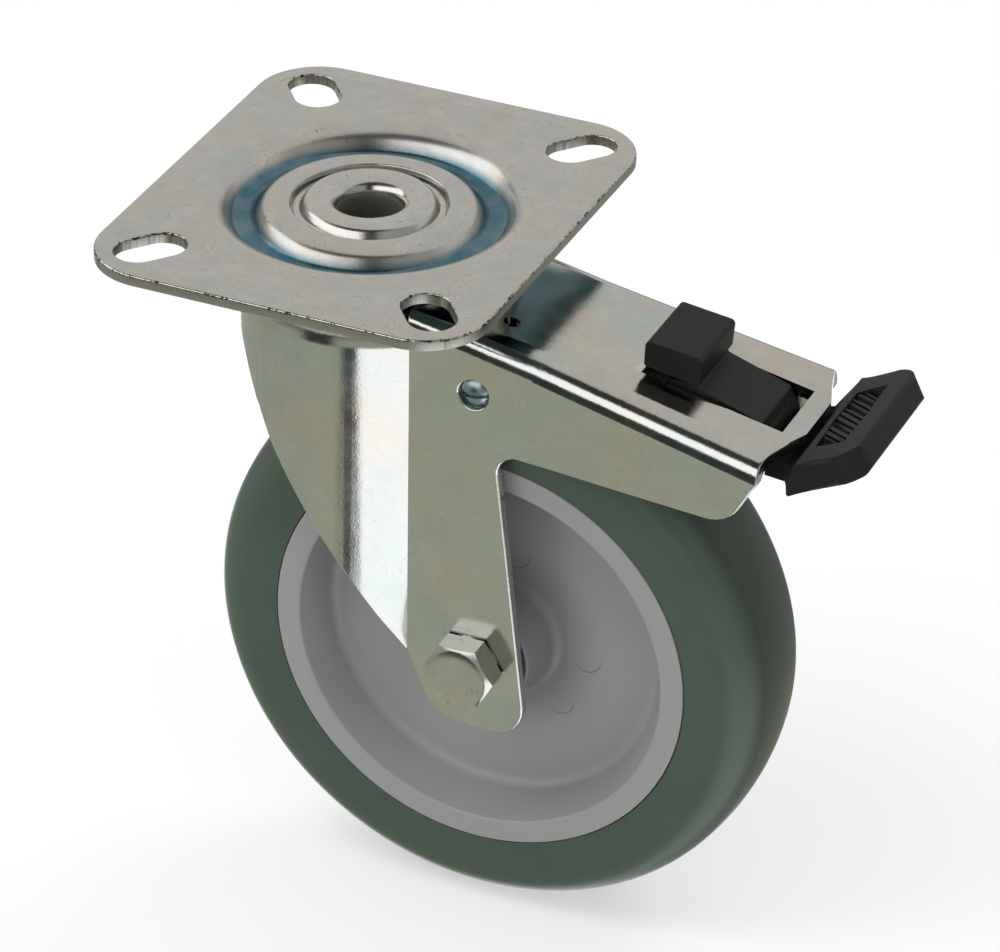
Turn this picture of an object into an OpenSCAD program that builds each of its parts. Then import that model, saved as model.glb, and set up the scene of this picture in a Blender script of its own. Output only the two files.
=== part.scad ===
// Braked swivel castor with a top plate, a pressed steel fork, a foot pedal
// and a grey plastic wheel with a soft tyre. Sizes are in millimetres.
// The swivel axis is Z, the underside of the load is at z = 0, the castor
// hangs below it and the pedal points along +X.

/* [Castor] */
// Height from the top of the tyre to the top of the plate
head_h = 30; // [29.5:0.5:36]
// Sideways distance from the swivel axis to the wheel axle
trail = 32; // [28:0.5:36]

/* [Top plate] */
// Length of the plate along X
plate_x = 85; // [80:1:100]
// Width of the plate along Y
plate_y = 100; // [95:1:120]
// Thickness of the plate sheet
plate_t = 2.5; // [2:0.1:3]
// Radius of the plate corners
plate_corner_r = 14; // [8:0.5:16]
// Distance from each plate edge to the bolt slot centres
slot_inset = 12; // [11.5:0.1:13.5]
// Width of a bolt slot
slot_w = 9.8; // [8.5:0.1:11]
// End to end length of a bolt slot
slot_l = 15.2; // [13:0.1:17]
// Depth of the pressed ring round the kingpin
groove_depth = 5.6; // [4.5:0.1:6.2]

/* [Swivel head] */
// Radius of the bore through the kingpin
kingpin_bore_r = 6.6; // [5:0.1:8]
// Outer radius of the kingpin barrel
kingpin_r = 10.5; // [10:0.1:11.5]
// Radius of the kingpin head
kingpin_head_r = 15.9; // [15:0.1:16]
// Radius of the upper balls
upper_ball_r = 3; // [2.8:0.05:3.2]
// Radius of the lower balls
lower_ball_r = 2.5; // [2.2:0.05:2.6]
// Balls in each ring
ball_count = 16; // [10:1:18]
// Teeth of the swivel lock disc
lock_teeth = 24; // [12:12:24]

/* [Fork] */
// Thickness of the fork sheet
sheet_t = 2.5; // [2:0.1:2.6]
// Free width between the legs
fork_gap = 35; // [34.5:0.1:37]
// Outer radius of the round fork head
head_r = 27; // [26:0.1:28.5]
// Height from the plate top down to the fork crown
crown_drop = 12.5; // [12.3:0.1:13.2]
// Length of the pedal arm of the fork from the swivel axis
arm_end_x = 98.6; // [97:0.1:100]
// Downward slope of the pedal arm in degrees
arm_slope = 11.5; // [11:0.1:12]
// Outward flare of each side of the pedal arm in degrees
arm_flare = 2.7; // [1:0.1:3]
// Outer radius of the folded edges
fold_r = 5; // [4:0.1:5.5]

/* [Wheel] */
// Wheel diameter over the tyre
wheel_d = 125; // [122:0.5:126]
// Width of the tyre
tyre_w = 30.2; // [27:0.1:30.6]
// Depth of the tyre from the tread to the rim
tyre_depth = 16.5; // [14:0.1:18]
// Radius of the tyre shoulders
shoulder_r = 8.8; // [6:0.1:10]
// Width of the raised ring at the edge of the wheel centre
rim_ring_w = 5; // [3:0.1:6]
// Thickness of the wheel web
web_t = 11; // [6:0.1:14]
// Outer radius of the hub
hub_r = 13.5; // [13:0.1:15]
// Radius of the bearing rollers
roller_r = 1.95; // [1.7:0.05:2.1]
// Rollers in the bearing
roller_count = 10; // [6:1:11]

/* [Axle] */
// Diameter of the axle bolt
bolt_d = 8; // [6:0.1:8.4]
// Distance across the flats of the bolt head and nut
bolt_af = 13; // [12:0.1:14]
// Height of the bolt head
bolt_head_h = 5.3; // [4:0.1:6]
// Outer diameter of the axle sleeve
sleeve_d = 12; // [11:0.1:13]

/* [Pedal and brake] */
// Width of the foot tread
tread_w = 38; // [30:0.5:40]
// Upward slope of the foot tread in degrees
tread_slope = 26.3; // [24:0.1:28]
// Thickness of the foot tread
tread_t = 6.2; // [5:0.1:7]
// Width of the release block above the fork
block_w = 18; // [14:0.5:20]
// Diameter of the pedal pin
pedal_pin_d = 4; // [3:0.1:5]
// Ribs in the tread inset
rib_count = 11; // [5:1:12]
// Thickness of the brake lever sheet
lever_t = 1.3; // [1:0.1:1.4]
// Width of the brake shoe
shoe_w = 24; // [16:0.5:26]

/* [Hidden] */
$fn = 72;
total_h = wheel_d + head_h;
slot_pitch_x = plate_x - 2 * slot_inset;
slot_pitch_y = plate_y - 2 * slot_inset;
wheel_r = wheel_d / 2;
axle_z = wheel_r - total_h;
rim_r = wheel_r - tyre_depth;
half_gap = fork_gap / 2;
half_out = half_gap + sheet_t;
crown_z = -crown_drop;
shoulder_fold = 8;
dome_z = -1.5;
plate_under_z = dome_z - plate_t;
upper_pitch_r = kingpin_head_r + 2.1;
lower_pitch_r = kingpin_r + 6;
upper_ball_z = plate_under_z - 0.05 - upper_ball_r;
lower_ball_z = crown_z - sheet_t - lower_ball_r;
race_z = lower_ball_z - lower_ball_r - 0.05;
race_t = 2.45;
disc_z = race_z - race_t;
disc_t = 3;
disc_r = head_r - sheet_t - 2;
pin_end_z = disc_z - disc_t;
arm_z0 = -7.55;
flare_x = 46;
lever_x = 32.3;
lever_z = -28;
pedal_x = arm_end_x - 11.6;
pedal_z = arm_z0 - pedal_x * tan(arm_slope) - 6.25;
hub_half = half_gap - 0.3;
hub_bore_r = sleeve_d / 2 + 0.1 + 2 * roller_r;
function arm_top(x) = arm_z0 - x * tan(arm_slope);
function arm_under(x) = arm_top(x) - sheet_t / cos(arm_slope);

// Points of a polygon whose corners [x, y, radius] are rounded
function unit(v) = v / norm(v);
function corner(a, b, c, r, n) =
    let(u = unit(a - b), v = unit(c - b),
        half = acos(max(-1, min(1, u * v))) / 2,
        m = b + unit(u + v) * r / sin(half),
        p = b + u * r / tan(half) - m,
        q = b + v * r / tan(half) - m,
        turn = 180 - 2 * half,
        s = p[0] * q[1] - p[1] * q[0] > 0 ? 1 : -1)
    [for (i = [0:n]) let(t = s * turn * i / n)
        m + [p[0] * cos(t) - p[1] * sin(t), p[0] * sin(t) + p[1] * cos(t)]];
function rounded(pts, n = 6) =
    let(k = len(pts))
    [for (i = [0:k - 1])
        let(a = pts[(i + k - 1) % k], b = pts[i], c = pts[(i + 1) % k])
        each b[2] > 0
            ? corner([a[0], a[1]], [b[0], b[1]], [c[0], c[1]], b[2], n)
            : [[b[0], b[1]]]];

// Side outline in X and Z carried across the castor from y0 to y1
module across(y0, y1) {
    translate([0, y1, 0]) rotate([90, 0, 0]) linear_extrude(y1 - y0) children();
}

// Profile in radius and Y turned round the wheel axle
module about_axle() {
    translate([trail, 0, axle_z]) rotate([-90, 0, 0]) rotate_extrude() children();
}

module bolt_slot() {
    square_l = slot_l - slot_w;
    linear_extrude(plate_t + 2) union() {
        square([square_l, slot_w], center = true);
        for (s = [-1, 1]) translate([s * square_l / 2, 0]) circle(d = slot_w);
    }
}

// Pressed sheet with four diagonal bolt slots, a ring shaped groove that
// stiffens it, a recess for the kingpin head and a ball track below
module top_plate() color([0.69, 0.67, 0.64]) {
    g = -groove_depth;
    t = plate_t;
    track_r = upper_ball_r + 0.05;
    track = [for (i = [0:12]) let(a = 30 + 10 * i)
        [upper_pitch_r + track_r * cos(a), upper_ball_z + track_r * sin(a), 0]];
    translate([0, 0, -t]) difference() {
        linear_extrude(t) polygon(rounded([
            [-plate_x / 2, -plate_y / 2, plate_corner_r], [plate_x / 2, -plate_y / 2, plate_corner_r],
            [plate_x / 2, plate_y / 2, plate_corner_r], [-plate_x / 2, plate_y / 2, plate_corner_r]], 10));
        translate([0, 0, -1]) cylinder(r = 35, h = t + 2);
        for (sx = [-1, 1]) for (sy = [-1, 1])
            translate([sx * slot_pitch_x / 2, sy * slot_pitch_y / 2, -1])
                rotate(sx * sy * atan2(slot_pitch_y, slot_pitch_x)) bolt_slot();
    }
    rotate_extrude() polygon(rounded(concat([
        [kingpin_r + 0.1, -3.2, 0], [16.2, -3.2, 0], [16.2, dome_z + 0.2, 0.3], [21.6, dome_z, 2.5],
        [25, g, 1.8], [28.4, g, 1.8], [31.6, 0, 3.5], [35.2, 0, 0], [35.2, -t, 0],
        [33.1, -t, 1.5], [29.9, g - t, 3], [23.8, g - t, 3]], track, [[kingpin_r + 0.1, track[12][1], 0]])));
}

// Hollow rivet that holds the head together, its lower end rolled out
module kingpin() color([0.75, 0.73, 0.69]) {
    b = kingpin_bore_r;
    rotate_extrude() polygon(rounded([
        [b, -2.6, 1.5], [9.6, -0.3, 1.2], [13.4, -0.3, 0.6], [kingpin_head_r, -1.6, 0.4],
        [kingpin_head_r, -3.2, 0], [kingpin_r, -3.2, 0], [kingpin_r, pin_end_z, 0],
        [13.4, pin_end_z, 0.5], [13.4, pin_end_z - 2, 0.8], [b + 1.8, pin_end_z - 2, 0],
        [b, pin_end_z + 2, 2]]));
}

// Hardened ring on the crown with the track of the upper balls
module upper_race() color([0.55, 0.54, 0.52]) {
    top = upper_ball_z - upper_ball_r + 0.45;
    difference() {
        translate([0, 0, crown_z]) cylinder(r = upper_pitch_r + upper_ball_r + 0.4, h = top - crown_z);
        translate([0, 0, crown_z - 1]) cylinder(r = upper_pitch_r - upper_ball_r - 1.4, h = 10);
        translate([0, 0, upper_ball_z + 0.1]) rotate_extrude()
            translate([upper_pitch_r, 0]) circle(r = upper_ball_r + 0.1);
    }
}

module ball_ring(pitch, z, r) {
    for (i = [0:ball_count - 1])
        rotate(i * 360 / ball_count) translate([pitch, 0, z]) sphere(r = r, $fn = 24);
}

module upper_balls() color([0.8, 0.8, 0.82]) ball_ring(upper_pitch_r, upper_ball_z, upper_ball_r);

module lower_balls() color([0.8, 0.8, 0.82]) ball_ring(lower_pitch_r, lower_ball_z, lower_ball_r);

// Flat track under the crown, fixed to the kingpin
module lower_race() color([0.55, 0.54, 0.52]) translate([0, 0, race_z - race_t]) difference() {
    cylinder(r = lower_pitch_r + lower_ball_r + 1.6, h = race_t);
    translate([0, 0, -1]) cylinder(r = kingpin_r, h = race_t + 2);
}

// Toothed disc on the kingpin that the brake lever locks into
module lock_disc() color([0.6, 0.59, 0.56]) translate([0, 0, disc_z - disc_t]) difference() {
    cylinder(r = disc_r, h = disc_t);
    translate([0, 0, -1]) cylinder(r = kingpin_r, h = disc_t + 2);
    for (i = [0:lock_teeth - 1])
        rotate(i * 360 / lock_teeth) translate([disc_r - 3.9, -1.3, -1]) cube([6, 2.6, disc_t + 2]);
}

// Round head of the fork, outer or inner skin
module head_skin(r, fold, top) {
    rotate_extrude() polygon(rounded([[0, top, 0], [r, top, fold], [r, -total_h, 0], [0, -total_h, 0]], 8));
}

// One side of the folded channel behind the head, outer or inner skin
module channel_skin(w, top, fold, x0, x1, depth) {
    translate([x0, 0, 0]) rotate([90, 0, 90]) linear_extrude(x1 - x0)
        polygon(rounded([[-12, -depth, 0], [w, -depth, 0], [w, top, fold], [-12, top, 0]], 8));
}

// Channel that forms the pedal arm, with the two legs below its front end
module channel(w, top, fold, grow) {
    start = half_out - fold_r + 2.5;
    intersection() {
        for (m = [0, 1])
            mirror([0, m, 0]) translate([flare_x, 0, arm_top(flare_x)]) rotate([0, arm_slope, 0]) union() {
                channel_skin(w, top, fold, -flare_x, 40, total_h + grow);
                translate([0, w - w / cos(arm_flare), 0]) rotate(arm_flare)
                    channel_skin(w, top, fold, -10, arm_end_x - 36.6 + grow, 31);
            }
        translate([start, -60, -total_h - 20]) cube([200, 120, total_h + 20 + crown_z + top]);
    }
}

// Outline of the fork seen from the side
module fork_outline() {
    a = trail;
    b = axle_z;
    c = arm_end_x;
    d = arm_top(arm_end_x);
    across(-40, 40) polygon(rounded([
        [-head_r - 5, 5, 0], [-head_r - 5, crown_z - 3, 0], [-21.5, -25.5, 20],
        [-11.2, -46.4, 60], [a - 24.9, b + 18.4, 60], [a - 14, b + 0, 60],
        [a - 8, b - 14.6, 9], [a + 13.4, b - 15.8, 7], [a + 8.4, b + 26.5, 120],
        [a + 5.3, -40.6, 4.2], [c - 10, d - 15.1, 8], [c - 5.2, d - 6, 3],
        [c - 3.2, d - 3, 1.5], [c + 4, d - 4.4, 0], [c + 4, 5, 0]]));
}

// Folded steel fork with its round head, two legs and the pedal arm
module fork_housing() color([0.66, 0.66, 0.61]) difference() {
    intersection() {
        union() {
            head_skin(head_r, shoulder_fold, crown_z);
            channel(half_out, 0, fold_r, 0);
        }
        fork_outline();
        translate([0, 0, -total_h]) linear_extrude(total_h) polygon([
            [-40, -40], [arm_end_x - 5.6, -40], [arm_end_x - 4, -20.5], [arm_end_x - 2.4, -14.5],
            [arm_end_x, -7.5], [arm_end_x, 7.5], [arm_end_x - 2.4, 14.5], [arm_end_x - 4, 20.5],
            [arm_end_x - 5.6, 40], [-40, 40]]);
    }
    head_skin(head_r - sheet_t, shoulder_fold - sheet_t, crown_z - sheet_t);
    channel(half_gap, -sheet_t, fold_r - sheet_t, 6);
    translate([0, 0, crown_z - 6]) cylinder(r = kingpin_r + 2.4, h = 12);
    translate([pedal_x - 24.5, -8.9, -40]) cube([32, 17.8, 34]);
    translate([36.4, -10.5, -30]) cylinder(d = 3.5, h = 20);
    across(-40, 40) translate([lever_x, lever_z]) circle(d = 6.6);
    across(-40, 40) translate([trail, axle_z]) circle(d = bolt_d + 0.3);
}

// Hexagon with a chamfered outer face, standing on y = 0 towards -Y
module hexagon_piece(h) {
    rotate([90, 0, 0]) intersection() {
        linear_extrude(h) rotate(4) circle(d = bolt_af / cos(30), $fn = 6);
        rotate_extrude() polygon([
            [0, -1], [bolt_af, -1], [bolt_af, h - 2.2], [bolt_af / 2 - 0.3, h], [0, h]]);
    }
}

module axle_bolt() color([0.74, 0.73, 0.68]) translate([trail, 0, axle_z]) {
    translate([0, -half_out, 0]) hexagon_piece(bolt_head_h);
    rotate([-90, 0, 0]) translate([0, 0, -half_out]) cylinder(d = bolt_d, h = 2 * half_out + 10.5);
}

module axle_washer() color([0.72, 0.71, 0.66]) across(half_out, half_out + 1.6)
    translate([trail, axle_z]) difference() {
        circle(d = 2 * bolt_d);
        circle(d = bolt_d + 0.4);
    }

module axle_nut() color([0.7, 0.69, 0.64]) translate([trail, half_out + 1.6, axle_z]) difference() {
    rotate([0, 0, 180]) hexagon_piece(6.5);
    rotate([-90, 0, 0]) translate([0, 0, -1]) cylinder(d = bolt_d, h = 10);
}

// Steel tube clamped between the legs, the bearing runs on it
module axle_sleeve() color([0.62, 0.62, 0.64]) across(-half_gap, half_gap)
    translate([trail, axle_z]) difference() {
        circle(d = sleeve_d);
        circle(d = bolt_d + 0.2);
    }

// Plastic wheel centre with a dished web, a raised edge ring and a hub
module wheel_centre() color([0.5, 0.5, 0.51]) {
    r = rim_r;
    w = tyre_w / 2 + 0.2;
    h = hub_half - 1;
    v = web_t / 2;
    half = [[hub_bore_r, h, 0], [hub_r - 1.6, h, 0.6], [hub_r, v, 2.5], [r - rim_ring_w - 4, v, 3],
        [r - rim_ring_w, w, 0.8], [r, w, 0.3], [r, w - 4.5, 0], [r + 2, w - 7, 0]];
    about_axle() polygon(rounded(concat(half,
        [for (i = [len(half) - 1:-1:0]) [half[i][0], -half[i][1], half[i][2]]])));
}

// Soft tyre moulded round the wheel centre, with a rounded tread
module tyre() color([0.27, 0.33, 0.29]) {
    r = rim_r;
    w = tyre_w / 2;
    crown = 41.8;
    lean = asin((w - shoulder_r) / (crown - shoulder_r));
    sy = (crown - shoulder_r) * sin(lean);
    sr = wheel_r - crown + (crown - shoulder_r) * cos(lean);
    half = concat([for (i = [0:4]) let(a = lean * i / 4)
            [wheel_r - crown + crown * cos(a), crown * sin(a)]],
        [for (i = [1:8]) let(a = lean + (90 - lean) * i / 8)
            [sr + shoulder_r * cos(a), sy + shoulder_r * sin(a)]],
        [[r + 0.3, w], [r, w + 0.2 - 0.6], [r, w + 0.2 - 4.5], [r + 2, w + 0.2 - 7]]);
    about_axle() polygon(concat(half, [for (i = [len(half) - 1:-1:1]) [half[i][0], -half[i][1]]]));
}

// Bearing rollers inside the hub
module hub_rollers() color([0.8, 0.8, 0.82]) for (i = [0:roller_count - 1])
    across(4.4 - half_gap, half_gap - 4.4) translate([trail, axle_z]) rotate(i * 360 / roller_count)
        translate([sleeve_d / 2 + 0.1 + roller_r, 0]) circle(r = roller_r);

// Flanged bush that closes one end of the hub, drawn on the +Y side
module hub_bush() {
    b = sleeve_d / 2 + 0.06;
    about_axle() polygon([[b, half_gap - 4.2], [hub_bore_r, half_gap - 4.2], [hub_bore_r, hub_half - 1],
        [hub_r - 2.2, hub_half - 1], [hub_r - 2.2, hub_half], [b, hub_half]]);
}

module hub_bush_left() color([0.2, 0.2, 0.21]) hub_bush();

module hub_bush_right() color([0.2, 0.2, 0.21]) mirror([0, 1, 0]) hub_bush();

// Point of the moulded tread seen from the side, measured from the pedal pin
function tread_point(u, n) = [13.8 + u * cos(tread_slope) + n * sin(tread_slope),
    4.1 + u * sin(tread_slope) - n * cos(tread_slope)];

// Rocking pedal: release block above the fork, stem through the slot, foot
// tread outside and a cam below the pin that drives the brake lever
module foot_pedal() color([0.19, 0.19, 0.17]) translate([pedal_x, 0, pedal_z]) {
    difference() {
        union() {
            across(-block_w / 2, block_w / 2) polygon(rounded([
                [-22.3, 18.5, 1.2], [-10, 16.9, 1.2], [-10.6, 10.5, 0.8], [-22.5, 12.7, 0.8]]));
            across(-8.2, 8.2) polygon(rounded([
                [-18, 14.5, 0], [-11.8, 13.5, 0], [-11, 9.8, 0.5], [2.7, 5.3, 1], [4.6, 0.1, 0],
                [12.5, 0.1, 0], [12.5, -3.4, 0], [6, -4.8, 2], [-3, -4.8, 2], [-6.5, -0.1, 2],
                [-18, 6.9, 2]]));
            across(-8.2, 8.2) circle(r = 4.8);
            across(-6, 6) polygon([[-3.4, -1.5], [2.2, -1.5], [0.4, -9.9], [-3.5, -9.7]]);
            across(-6, 6) translate([-1.5, -9.5]) circle(r = 2);
            intersection() {
                across(-20, 20) polygon([[4.8, 0.1], [14, 0.1], [14, -3.5], [12.5, -3.4], [4.8, -4.8]]);
                translate([0, 0, -30]) linear_extrude(60) polygon([
                    [4.8, -10.8], [14, -14.6], [14, 14.6], [4.8, 10.8]]);
            }
            foot_tread();
        }
        across(-30, 30) circle(d = pedal_pin_d + 0.1);
    }
}

// Foot tread with a ribbed inset
module foot_tread() {
    w = tread_w / 2;
    intersection() {
        across(-w, w) polygon(rounded([
            concat(tread_point(0, 0), 0.8), concat(tread_point(14, 0), 1.2),
            concat(tread_point(14, tread_t), 1.5), [12.6, -3.4, 0.6], [11.5, 0.1, 0]]));
        translate([13.8, 0, 4.1]) rotate([0, -tread_slope, 0]) translate([0, 0, -20]) linear_extrude(30)
            polygon(rounded([[-12, -w, 0], [14.3, -w, 6.5], [14.3, w, 6.5], [-12, w, 0]], 8));
        difference() {
            translate([3, -w - 1, -14]) cube([40, 2 * w + 2, 40]);
            translate([13.8, 0, 4.1]) rotate([0, -tread_slope, 0]) tread_inset();
        }
    }
}

// Space cut into the tread, with diagonal ribs left standing in it
module tread_inset() {
    difference() {
        translate([0, 0, -1.1]) linear_extrude(5) polygon([
            [1.9, -11.6], [8.6, -11.6], [9.3, 0], [8.6, 11.6], [1.9, 11.6], [1.2, 0]]);
        for (i = [0:rib_count - 1])
            translate([5.2, (i - (rib_count - 1) / 2) * 23 / rib_count, -2]) rotate(-45)
                translate([-12, -0.45, 0]) cube([24, 0.9, 1.7]);
    }
}

module pedal_pin() color([0.7, 0.69, 0.65]) across(-11.6, 11.6)
    translate([pedal_x, pedal_z]) circle(d = pedal_pin_d);

// Lug welded under the pedal arm that carries one end of the pedal pin
module pedal_lug(y0) {
    across(y0, y0 + 1.5) difference() {
        polygon(rounded([
            [pedal_x - 4.1, arm_under(pedal_x - 4.1), 0], [pedal_x + 3.9, arm_under(pedal_x + 3.9), 0],
            [pedal_x + 3.9, pedal_z - 3.9, 3.6], [pedal_x - 4.1, pedal_z - 3.9, 3.6]]));
        translate([pedal_x, pedal_z]) circle(d = pedal_pin_d);
    }
}

module pedal_lug_left() color([0.62, 0.62, 0.58]) pedal_lug(9.4);

module pedal_lug_right() color([0.62, 0.62, 0.58]) pedal_lug(-10.9);

// Rivet in one leg that the brake lever turns on, drawn on the +Y side
module lever_rivet() {
    about = [lever_x, lever_z];
    across(half_gap, half_out - 0.6) translate(about) circle(d = 6.6);
    across(half_gap - 2.3, half_gap) translate(about) circle(d = 4);
    across(half_gap - 2.9, half_gap - 2.3) translate(about) circle(d = 5.6);
}

module lever_rivet_left() color([0.45, 0.55, 0.6]) lever_rivet();

module lever_rivet_right() color([0.45, 0.55, 0.6]) mirror([0, 1, 0]) lever_rivet();

// Sheet lever that pushes the shoe on the tyre and a tooth into the disc
module brake_lever() color([0.64, 0.64, 0.6]) {
    w = half_gap - 0.4;
    p = pedal_x;
    q = pedal_z;
    difference() {
        union() {
            for (y = [-w, w - lever_t]) across(y, y + lever_t) polygon(rounded([
                [19.5, -26.6, 1], [27, -24, 4], [35, -20.2, 4], [60, -25.5, 10], [p - 8, q - 1.1, 3],
                [p - 6.6, q - 1.1, 0.5], [p - 3, q - 13, 1], [p - 5.4, q - 13, 1], [p - 10, q - 5.9, 6],
                [60, -32.6, 10], [36, -32.4, 3], [19.5, -29.2, 1]]));
            across(-w, w) polygon([[38, -20.9], [58, -25.2], [58, -26.7], [38, -22.4]]);
            across(-w, w) polygon([[19.5, -27.6], [28.8, -27.6], [28.8, -29.2], [19.5, -29.2]]);
            across(-w, w) polygon([
                [p - 6.6, q - 1.7], [p - 3.2, q - 13], [p - 5, q - 13], [p - 8.4, q - 1.7]]);
            across(-0.9, 0.9) polygon([
                [19.5, -28], [22.2, -28], [22.2, -26.3], [21.9, -26], [19.8, -26], [19.5, -26.3]]);
        }
        across(-30, 30) translate([lever_x, lever_z]) circle(d = 4.1);
    }
}

// Underside of the shoe, clear of the tyre when the lever tilts by 6 degrees
function shoe_under(x) = axle_z + sqrt(pow(wheel_r + 0.8, 2) - pow(x - trail, 2)) + (x - lever_x) * tan(6);

// Moulded shoe under the lever, just above the tyre
module brake_shoe() color([0.15, 0.15, 0.15]) across(-shoe_w / 2, shoe_w / 2) polygon([
    [43, -23.475], [57, -26.485], [57, shoe_under(57)], [50, shoe_under(50)], [43, shoe_under(43)]]);

top_plate();
kingpin();
lower_race();
lock_disc();
fork_housing();
upper_race();
upper_balls();
lower_balls();
axle_bolt();
axle_washer();
axle_nut();
axle_sleeve();
pedal_lug_left();
pedal_lug_right();
pedal_pin();
lever_rivet_left();
lever_rivet_right();
wheel_centre();
tyre();
hub_rollers();
hub_bush_left();
hub_bush_right();
foot_pedal();
brake_lever();
brake_shoe();
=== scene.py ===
# Braked swivel castor: bright zinc plated pressings, a grey plastic wheel centre with
# a green grey tyre moulded on, and a black nylon foot pedal. Lengths are worked out in
# millimetres in the castor's own frame and turned to metres when a mesh is made. Places
# that a material reads are in metres, as Object coordinates are.
import math

import bmesh
import bpy
import numpy as np
from mathutils import Matrix, Vector
from mathutils.geometry import tessellate_polygon


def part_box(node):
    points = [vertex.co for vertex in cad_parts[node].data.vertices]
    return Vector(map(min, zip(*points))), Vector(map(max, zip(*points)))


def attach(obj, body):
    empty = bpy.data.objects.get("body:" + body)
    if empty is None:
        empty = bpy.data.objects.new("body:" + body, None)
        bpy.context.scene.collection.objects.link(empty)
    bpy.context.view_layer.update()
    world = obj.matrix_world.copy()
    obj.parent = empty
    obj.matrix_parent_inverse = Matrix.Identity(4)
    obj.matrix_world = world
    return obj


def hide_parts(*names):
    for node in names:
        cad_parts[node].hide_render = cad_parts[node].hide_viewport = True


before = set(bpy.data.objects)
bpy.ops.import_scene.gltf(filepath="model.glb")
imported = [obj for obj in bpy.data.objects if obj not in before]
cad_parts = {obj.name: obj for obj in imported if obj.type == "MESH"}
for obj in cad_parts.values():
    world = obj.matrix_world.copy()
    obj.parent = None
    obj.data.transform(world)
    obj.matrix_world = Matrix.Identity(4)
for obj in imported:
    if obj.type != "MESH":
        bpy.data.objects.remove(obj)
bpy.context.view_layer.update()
scene = bpy.context.scene

# Camera. It stands above and in front of the castor, at the height and turn at which
# the photograph was taken, with the long lens of a catalogue picture.
right = (0.914486163, 0.404321217, 0.015472929)
down = (0.221320361, -0.467833185, -0.855657296)
ahead = (-0.338721650, 0.785911232, -0.517311492)
camera_at = (0.4067820, -0.8745000, 0.5171400)
camera = bpy.data.objects.new("camera", bpy.data.cameras.new("camera"))
scene.collection.objects.link(camera)
camera.matrix_world = Matrix((
    (right[0], -down[0], -ahead[0], camera_at[0]),
    (right[1], -down[1], -ahead[1], camera_at[1]),
    (right[2], -down[2], -ahead[2], camera_at[2]),
    (0, 0, 0, 1)))
camera.data.sensor_width = 36
camera.data.lens = 193.925
camera.data.clip_start = 0.05
camera.data.clip_end = 60
scene.camera = camera
scene.view_settings.view_transform = "Standard"


# Floor and light. The castor stands on a seamless white sheet in a pale room. Four soft
# boxes light it from the upper left, behind, the right and low in front. They light only
# matt surfaces: what bright metal mirrors is the room, laid out by direction.
def linear(colour):
    """sRGB hex to linear RGBA: below 0.04045 the value over 12.92, above it
    ((v + 0.055) / 1.055) ^ 2.4."""
    v = np.array([int(colour[i:i + 2], 16) for i in (1, 3, 5)]) / 255
    v = np.where(v <= 0.04045, v / 12.92, ((v + 0.055) / 1.055) ** 2.4)
    return (*v.tolist(), 1.0)


def add(tree, kind, inputs=None, **values):
    """Adds one node to a tree. inputs gives its inputs, by name or number, a socket to link
    or a plain value. values set the node's own settings or, failing that, inputs by name."""
    node = tree.nodes.new("ShaderNode" + kind)
    for key, value in values.items():
        if hasattr(node, key):
            setattr(node, key, value)
        else:
            node.inputs[key.replace("_", " ")].default_value = value
    for key, value in (inputs or {}).items():
        if isinstance(value, bpy.types.NodeSocket):
            tree.links.new(value, node.inputs[key])
        else:
            node.inputs[key].default_value = value
    return node


world = bpy.data.worlds.new("pale_room")
scene.world = world
world.use_nodes = True
tree = world.node_tree
tree.nodes.clear()
direction = add(tree, "TexCoord").outputs["Object"]
split = add(tree, "SeparateXYZ", {"Vector": direction}).outputs
rise = add(tree, "Math", {0: split["Z"]}, operation="ARCSINE").outputs[0]
toward = add(tree, "Math", {0: split["Y"], 1: -1}, operation="MULTIPLY").outputs[0]
turn = add(tree, "Math", {0: split["X"], 1: toward}, operation="ARCTAN2").outputs[0]


def between(angle, low, high, soft=3.0):
    """1 between two angles in degrees and 0 outside, with smooth edges soft degrees wide."""
    up = add(tree, "MapRange", {"Value": angle}, interpolation_type="SMOOTHSTEP",
             From_Min=math.radians(low - soft), From_Max=math.radians(low + soft))
    off = add(tree, "MapRange", {"Value": angle}, interpolation_type="SMOOTHSTEP",
              From_Min=math.radians(high - soft), From_Max=math.radians(high + soft),
              To_Min=1.0, To_Max=0.0)
    return add(tree, "Math", {0: up.outputs["Result"], 1: off.outputs["Result"]},
               operation="MULTIPLY").outputs[0]


def region(rises, turns, soft):
    """The part of the room between two heights and two turns in degrees: the product of
    both bands. Turn 0 is straight in front and grows to the right."""
    return add(tree, "Math", {0: between(rise, *rises), 1: between(turn, *turns, soft)},
               operation="MULTIPLY").outputs[0]


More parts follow.
